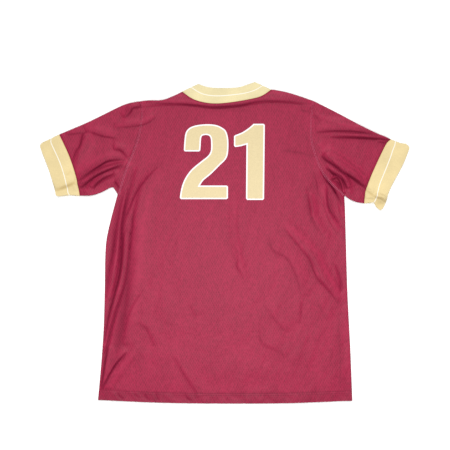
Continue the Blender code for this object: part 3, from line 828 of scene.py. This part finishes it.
def stretched(tree, value, least, most, low=0.0, high=1.0):
    """The value, with its range from least to most stretched from low to high."""
    return add_node(tree, "MapRange", {"Value": value, "From Min": least, "From Max": most,
                                       "To Min": low, "To Max": high}).outputs[0]


def mottled(tree, place, size, detail=2.0, roughness=0.5):
    """Noise with patches of this size."""
    return add_node(tree, "TexNoise", {"Vector": place, "Scale": 1 / size, "Detail": detail,
                                       "Roughness": roughness}).outputs["Fac"]


def add_bumps(tree, shader, *bumps):
    """Gives the shader bumps, each as (height, strength, distance) and each on top of the one before."""
    under = {}
    for height, strength, distance in bumps:
        bump = add_node(tree, "Bump", {"Height": height, "Strength": strength, "Distance": distance} | under)
        under = {"Normal": bump.outputs[0]}
    tree.links.new(bump.outputs[0], shader.inputs["Normal"])


def new_material(name, roughness, sheen=0.0, specular=0.35):
    """A material with its shader, whose constant sockets are set."""
    made = bpy.data.materials.new(name)
    made.use_nodes = True
    shader = made.node_tree.nodes["Principled BSDF"]
    shader.inputs["Roughness"].default_value = roughness
    shader.inputs["Specular IOR Level"].default_value = specular
    shader.inputs["Sheen Weight"].default_value = sheen
    shader.inputs["Sheen Roughness"].default_value = 0.45
    return made, made.node_tree, shader


def shade(colour, factor):
    return (*[min(1.0, channel * factor) for channel in colour], 1.0)


def paint_crease_shade(tree, shader, colour, deepest):
    """Colours the shader with painted shade by the crease attribute: darker and with less shine in creases,
    beside seams and in the hem's groove, where shade falls. Real creases are pinched nearly shut, which a
    sheet with cells of two millimetres can't be. deepest is what the darkest painted shade leaves of the
    colour."""
    crease = add_node(tree, "Attribute", attribute_name="crease").outputs["Fac"]
    left_over = mixed(tree, crease, (1.0, 1.0, 1.0, 1.0), (*deepest, 1.0))
    specular = shader.inputs["Specular IOR Level"]
    tree.links.new(multiplied(tree, colour, left_over), shader.inputs["Base Color"])
    tree.links.new(stretched(tree, crease, 0.0, 1.0, specular.default_value, 0.0), specular)


def mesh_knit(colour):
    """Polyester mesh knit: deep in colour, and a broad, soft shine whitens it under the light. Pinholes in
    slanting rows give the grain, drawn coarser than real so that they show. The dye takes a little unevenly,
    in wales up the body. The turned-up hem is painted darker, as shade, and creases get painted shade too."""
    material, tree, shader = new_material("polyester mesh knit", 0.55, sheen=0.04, specular=0.2)
    place = add_node(tree, "TexCoord").outputs["Object"]
    squeezed = multiplied(tree, place, (1.0, 1 / math.sqrt(3), 1.0))
    slanted = add_node(tree, "Mapping", {"Vector": squeezed, "Rotation": (0.0, 0.0, math.radians(45))})
    mesh = add_node(tree, "TexVoronoi", {"Vector": slanted.outputs[0], "Scale": math.sqrt(2) / MESH,
                                         "Randomness": 0.15}).outputs["Distance"]
    wales = multiplied(tree, place, (1.0, WALE_SQUEEZE, 1.0))
    grain = mottled(tree, wales, GRAIN, detail=4.0, roughness=0.7)
    patches = mottled(tree, wales, DYE_PATCH, detail=3.0)
    holed = calculated(tree, "MULTIPLY_ADD", mesh, MESH_SHARE, grain)
    both = calculated(tree, "MULTIPLY_ADD", patches, PATCH_SHARE, holed)
    dyed = mixed(tree, stretched(tree, both, *DYE_RANGE), shade(colour, 0.7), shade(colour, 1.3))
    # painted shade over the turned-up hem
    up_body = add_node(tree, "SeparateXYZ", {"Vector": place}).outputs["Y"]
    hem_shaded = multiplied(tree, dyed, stretched(tree, up_body, *HEM_SHADE_EDGE, low=HEM_SHADE))
    # painted shade in creases and grooves, beside seams and in the hem's groove
    paint_crease_shade(tree, shader, hem_shaded, deepest=(0.42, 0.42, 0.45))
    creping = mottled(tree, place, CREPING, detail=3.0, roughness=0.6)
    add_bumps(tree, shader, (creping, 0.5, 1.2 * MM), (mesh, 0.4, 0.5 * MM))
    return material


def rib_knit(name, colour, line_colour, line_width):
    """Doubled rib knit, firmer and smoother than the body. Fine ribs run across the band, and a white line is
    knitted in along it."""
    material, tree, shader = new_material(name, 0.7, sheen=0.05, specular=0.15)
    band_place = add_node(tree, "UVMap", uv_map="band").outputs["UV"]
    apart = add_node(tree, "SeparateXYZ", {"Vector": band_place})
    off_line = calculated(tree, "ABSOLUTE", apart.outputs["Y"])
    on_line = calculated(tree, "LESS_THAN", off_line, line_width / 2)
    ribs = calculated(tree, "SINE", calculated(tree, "MULTIPLY", apart.outputs["X"], 2 * math.pi / RIB))
    place = add_node(tree, "TexCoord").outputs["Object"]
    grain = mottled(tree, place, GRAIN, detail=4.0, roughness=0.65)
    patches = mottled(tree, place, DYE_PATCH)
    worn = stretched(tree, calculated(tree, "ADD", grain, patches), 0.75, 1.25)
    yarn = mixed(tree, worn, shade(colour, 0.93), shade(colour, 1.06))
    striped = mixed(tree, on_line, yarn, (*line_colour, 1.0))
    # painted shade in the bands' creases and beside their seams, warmer than grey
    paint_crease_shade(tree, shader, striped, deepest=(0.85, 0.78, 0.66))
    add_bumps(tree, shader, (patches, 0.4, 1.2 * MM), (ribs, 0.25, 0.12 * MM))
    return material


def press_film(name, colour):
    """Heat-pressed polyurethane film: smooth and slightly satin, and the knit's grain presses through it."""
    material, tree, shader = new_material(name, 0.5, specular=0.35)
    grain = mottled(tree, add_node(tree, "TexCoord").outputs["Object"], GRAIN, detail=3.0)
    worn = mixed(tree, stretched(tree, grain, 0.35, 0.65), shade(colour, 0.96), shade(colour, 1.03))
    tree.links.new(worn, shader.inputs["Base Color"])
    add_bumps(tree, shader, (grain, 0.3, 0.2 * MM))
    return material


def sewing_thread(name, colour):
    """Polyester sewing thread: a twisted yarn, a little shiny."""
    material, tree, shader = new_material(name, 0.5, specular=0.2)
    twist = mottled(tree, add_node(tree, "TexCoord").outputs["Object"], THREAD_TWIST)
    yarn = mixed(tree, twist, shade(colour, 0.85), shade(colour, 1.1))
    tree.links.new(yarn, shader.inputs["Base Color"])
    return material


# The stage: places and sizes in metres
WORLD_STRENGTH = 0.4
KEY_STRENGTH = 1.9  # watts a square metre, from the collar's side
KEY_WIDTH = math.radians(12)
KEY_HEIGHT = math.radians(52)
OVERHEAD_POWER = 11.3  # watts
OVERHEAD_SIZE = 0.5
OVERHEAD_PLACE = (0.01, -0.17, 1.25)
LENS = 70.0
FIELD_WIDTH = 1.125
FIELD_CENTRE = (0.0006, 0.0445)
FLOOR_SIZE = 12.0
FLOOR_LEVEL = -0.0002  # just below the cloth that rests on it


def studio_floor(colour):
    """Matt white paper backdrop."""
    material, _, shader = new_material("white backdrop paper", 0.9, specular=0.1)
    shader.inputs["Base Color"].default_value = (*colour, 1.0)
    return material


def length_setting(name, description, metres):
    return FloatProperty(name=name, description=description, default=metres, unit="LENGTH")


def colour_setting(name, description, colour):
    return FloatVectorProperty(name=name, description=description, default=linear(colour), subtype="COLOR")


class JerseySizes(bpy.types.PropertyGroup):
    """Sizes of the jersey's cloth and trimmings"""

    knit_wall: length_setting("Knit thickness", "Thickness of the body and sleeves", 0.0012)
    band_wall: length_setting("Band thickness", "Thickness of the collar and cuffs", 0.0016)
    hem_depth: length_setting("Hem depth", "Depth of the turned-up hem", 0.025)
    line_width: length_setting("Line width", "Width of the white line along the bands", 0.0021)
    number_edge: length_setting("Number edge", "Width of the white edge of the number", 0.0035)
    stitch_length: length_setting("Stitch length", "Length of one topstitch", 0.003)
    fold_strength: FloatProperty(name="Fold strength", description="Height of the folds, as a share",
                                 default=1.0, min=0.0, max=1.5, subtype="FACTOR")


class JerseyColours(bpy.types.PropertyGroup):
    """Colours of the jersey"""

    knit: colour_setting("Knit", "Colour of the body and sleeves", "#8B1B3A")
    cuff: colour_setting("Cuffs", "Colour of the cuffs", "#D2BF8F")
    collar: colour_setting("Collar", "Colour of the collar", "#D4C79C")
    line: colour_setting("Line", "Colour of the line along the bands", "#E2DED2")
    number: colour_setting("Number", "Colour of the number's face", "#CAB98F")
    edge: colour_setting("Number edge", "Colour of the number's edge", "#E4E2E4")
    thread: colour_setting("Thread", "Colour of the armholes' stitching", "#B8657D")
    hem_thread: colour_setting("Hem thread", "Colour of the hem's stitching", "#6A1830")
    floor: colour_setting("Floor", "Colour of the floor", "#F7F7F7")


def dress(piece, material, node):
    """Gives a piece its material, and puts it in the place of a node of the part."""
    piece.data.materials.append(material)
    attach(piece, "root")
    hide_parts(node)


def fasten_to_back(piece, material):
    """Gives a piece of trim its material, and makes it move with the back."""
    piece.data.materials.append(material)
    piece.parent = bpy.data.objects["back_cloth"]


class JERSEY_OT_body(bpy.types.Operator):
    """Makes the back and the front, with the back's folds"""

    bl_idname = "jersey.body"
    bl_label = "Back and Front"

    def execute(self, context):
        sizes = context.scene.jersey_sizes
        knit = mesh_knit(context.scene.jersey_colours.knit)
        for name, node, neck, is_upper, cells, under in (
            ("front_cloth", "front_panel", FRONT_NECK, False, COARSE, []),
            ("back_cloth", "back_panel", BACK_NECK, True, FINE, ["front_cloth"]),
        ):
            panel, flat, area = body_panel(name, neck, is_upper, cells, sizes)
            dress(panel, knit, node)
        return {"FINISHED"}


class JERSEY_OT_sleeves(bpy.types.Operator):
    """Makes the two sleeves, with their folds"""

    bl_idname = "jersey.sleeves"
    bl_label = "Sleeves"

    def execute(self, context):
        sizes = context.scene.jersey_sizes
        half = SEAM_GAP / 2
        for name, node, ends, sides, facing in (
            ("left_sleeve_cloth", "left_sleeve", ((LEFT_ARMHOLE, half), (LEFT_CUFF_SEAM, half)),
             (LEFT_UNDERARM, LEFT_SLEEVE_TOP), 1),
            ("right_sleeve_cloth", "right_sleeve", ((RIGHT_ARMHOLE, half), (RIGHT_CUFF_SEAM, half)),
             (RIGHT_UNDERARM, RIGHT_SLEEVE_TOP), -1),
        ):
            plan = limb_plan(ends, sides, SLEEVE_CELLS, facing)
            sleeve, flat, area = tube(name, plan, plan, sizes.knit_wall / MM, sizes)
            dress(sleeve, bpy.data.materials["polyester mesh knit"], node)
        return {"FINISHED"}


class JERSEY_OT_bands(bpy.types.Operator):
    """Makes the collar and the cuffs, with their white line"""

    bl_idname = "jersey.bands"
    bl_label = "Collar and Cuffs"

    def execute(self, context):
        sizes, colours = context.scene.jersey_sizes, context.scene.jersey_colours
        cuff_rib = rib_knit("polyester rib knit, cuffs", colours.cuff, colours.line, sizes.line_width)
        collar_rib = rib_knit("polyester rib knit, collar", colours.collar, colours.line, sizes.line_width)
        half = SEAM_GAP / 2
        left_ends = (LEFT_CUFF_SEAM, half), (LEFT_CUFF_EDGE, 0)
        right_ends = (RIGHT_CUFF_SEAM, half), (RIGHT_CUFF_EDGE, 0)
        left = limb_plan(left_ends, (LEFT_CUFF_BOTTOM, LEFT_CUFF_TOP), CUFF_CELLS, 1)
        right = limb_plan(right_ends, (RIGHT_CUFF_BOTTOM, RIGHT_CUFF_TOP), CUFF_CELLS, -1)
        for name, node, halves, line, rib in (
            ("left_cuff_band", "left_cuff", (left, left), LEFT_CUFF_LINE, cuff_rib),
            ("right_cuff_band", "right_cuff", (right, right), RIGHT_CUFF_LINE, cuff_rib),
            ("collar_band", "collar", collar_halves(), COLLAR_LINE, collar_rib),
        ):
            band, flat, area = tube(name, *halves, sizes.band_wall / MM, sizes, line)
            dress(band, rib, node)
        return {"FINISHED"}


class JERSEY_OT_number(bpy.types.Operator):
    """Presses the number on to the back"""

    bl_idname = "jersey.number"
    bl_label = "Number"

    def execute(self, context):
        sizes, colours = context.scene.jersey_sizes, context.scene.jersey_colours
        outer = [figure_outline(place, runs) for place, runs in FIGURES]
        inner = [inset(outline, sizes.number_edge / MM) for outline in outer]
        for name, outlines, colour, lift in (
            ("number_edge", outer, colours.edge, FILM_LIFT),
            ("number_face", inner, colours.number, 2 * FILM_LIFT + FILM_THICKNESS),
        ):
            piece = film(name, outlines, lift, sizes)
            fasten_to_back(piece, press_film(name.replace("_", " ") + " film", colour))
        return {"FINISHED"}


class JERSEY_OT_stitching(bpy.types.Operator):
    """Sews the twin rows at the armholes and the hem's row"""

    bl_idname = "jersey.stitching"
    bl_label = "Stitching"

    def execute(self, context):
        sizes, colours = context.scene.jersey_sizes, context.scene.jersey_colours
        hem = sizes.hem_depth / MM
        hem_rows = ((HEM, hem), (HEM, hem - HEM_ROW_GAP))
        for name, rows, low_end, colour in (("armhole_stitching", ARMHOLE_ROWS, 2.0, colours.thread),
                                            ("hem_stitching", hem_rows, 1.0, colours.hem_thread)):
            thread = sewing_thread(name.replace("_", " ") + " thread", colour)
            fasten_to_back(stitching(name, rows, low_end, sizes), thread)
        return {"FINISHED"}


class JERSEY_OT_stage(bpy.types.Operator):
    """Lays the floor, and sets the light and the camera straight above the jersey"""

    bl_idname = "jersey.stage"
    bl_label = "Stage"

    def execute(self, context):
        scene = context.scene
        bpy.ops.object.select_all(action="DESELECT")
        bpy.ops.mesh.primitive_plane_add(size=FLOOR_SIZE, location=(0, 0, FLOOR_LEVEL))
        floor = context.object
        floor.name = "floor"
        floor.data.materials.append(studio_floor(scene.jersey_colours.floor))

        world = bpy.data.worlds.new("studio")
        world.use_nodes = True
        world.node_tree.nodes["Background"].inputs["Color"].default_value = (1.0, 1.0, 1.0, 1.0)
        world.node_tree.nodes["Background"].inputs["Strength"].default_value = WORLD_STRENGTH
        scene.world = world
        key = bpy.data.lights.new("key_light", "SUN")
        key.energy, key.angle = KEY_STRENGTH, KEY_WIDTH
        key_lamp = bpy.data.objects.new("key_light", key)
        key_lamp.rotation_euler = (KEY_HEIGHT - math.pi / 2, 0, 0)
        overhead = bpy.data.lights.new("overhead_light", "AREA")
        overhead.size, overhead.energy = OVERHEAD_SIZE, OVERHEAD_POWER
        overhead_lamp = bpy.data.objects.new("overhead_light", overhead)
        overhead_lamp.location = OVERHEAD_PLACE
        for lamp in (key_lamp, overhead_lamp):
            scene.collection.objects.link(lamp)
        scene.view_settings.view_transform = "Standard"

        lens = bpy.data.cameras.new("overhead")
        lens.lens = LENS
        camera = bpy.data.objects.new("overhead", lens)
        camera.location = (*FIELD_CENTRE, FIELD_WIDTH * LENS / lens.sensor_width)
        scene.collection.objects.link(camera)
        scene.camera = camera
        return {"FINISHED"}


class JERSEY_PT_panel(bpy.types.Panel):
    """Lists the steps that dress the jersey"""

    bl_idname = "JERSEY_PT_panel"
    bl_label = "Baseball Jersey"
    bl_space_type = "VIEW_3D"
    bl_region_type = "UI"
    bl_category = "Jersey"

    def draw(self, context):
        for group in (context.scene.jersey_sizes, context.scene.jersey_colours):
            for name in group.__annotations__:
                self.layout.prop(group, name)
        for operator in OPERATORS:
            self.layout.operator(operator.bl_idname)


OPERATORS = (JERSEY_OT_body, JERSEY_OT_sleeves, JERSEY_OT_bands, JERSEY_OT_number, JERSEY_OT_stitching,
             JERSEY_OT_stage)
CLASSES = (JerseySizes, JerseyColours, *OPERATORS, JERSEY_PT_panel)


def register():
    for each in CLASSES:
        bpy.utils.register_class(each)
    bpy.types.Scene.jersey_sizes = PointerProperty(type=JerseySizes)
    bpy.types.Scene.jersey_colours = PointerProperty(type=JerseyColours)


def unregister():
    del bpy.types.Scene.jersey_colours
    del bpy.types.Scene.jersey_sizes
    for each in reversed(CLASSES):
        bpy.utils.unregister_class(each)


def main():
    register()
    bpy.ops.jersey.body()
    bpy.ops.jersey.sleeves()
    bpy.ops.jersey.bands()
    bpy.ops.jersey.number()
    bpy.ops.jersey.stitching()
    bpy.ops.jersey.stage()


if __name__ == "__main__":
    main()
